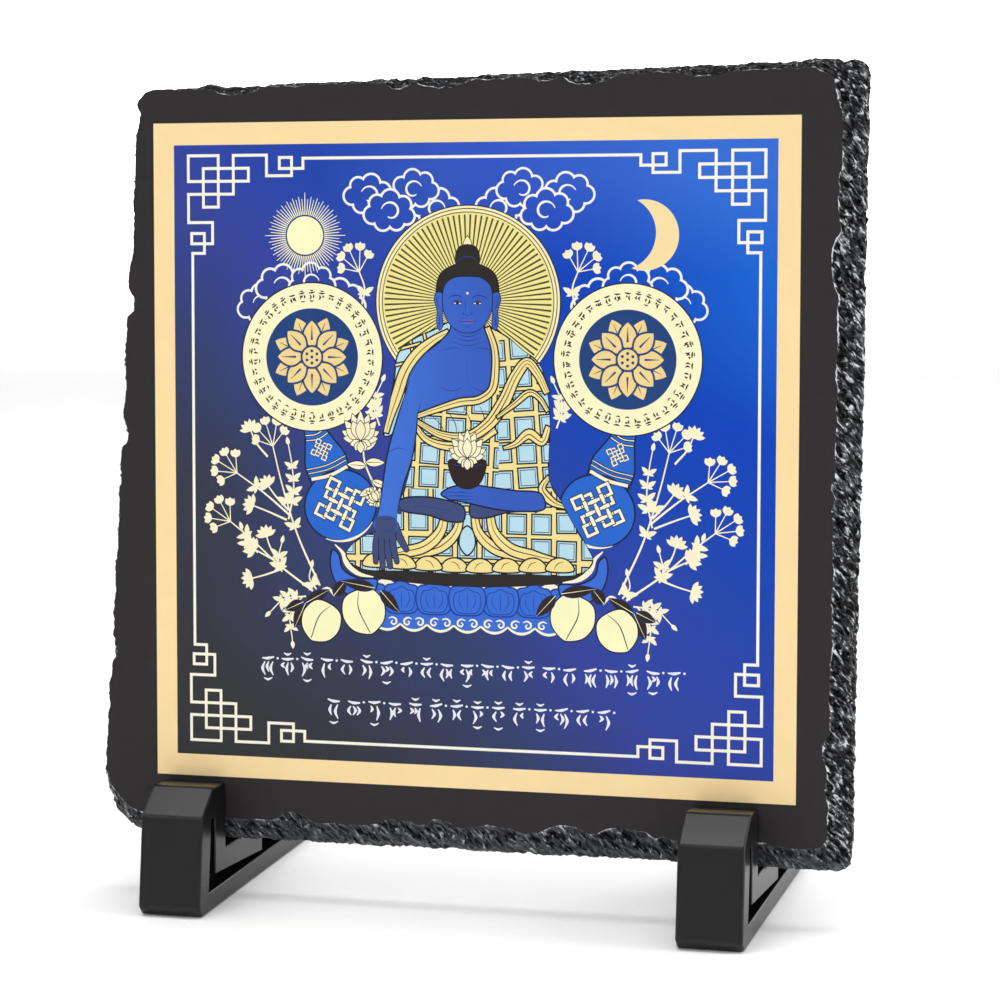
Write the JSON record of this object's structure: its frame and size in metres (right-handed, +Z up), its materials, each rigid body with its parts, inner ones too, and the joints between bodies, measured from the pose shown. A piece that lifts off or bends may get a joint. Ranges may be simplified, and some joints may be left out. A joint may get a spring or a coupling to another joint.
{
  "type": "slate picture plaque on display feet",
  "caption": "Square slate plaque with chipped edges and a flat printed picture of a seated Buddha, leaning back in slotted moulded display feet.",
  "frame": {"origin": "on the surface that the feet stand on, at the middle of the whole object's box", "axes": "+Z up, +X to the right of someone who looks at the picture side, +Y away from them, towards the feet's tails"},
  "size_m": [0.2135, 0.0924, 0.2283],
  "materials": {
    "slate_stone": "split and chipped slate, matt, with a smooth coated face",
    "black_plastic": "injection-moulded black plastic, satin to gloss",
    "print_dye": "dye in a thin clear coating, satin: cobalt blue ground, cream and gold line work"
  },
  "bodies": {
    "root": {"slate": "slate_stone", "foot_left": "black_plastic", "foot_right": "black_plastic"}
  },
  "joints": []
}
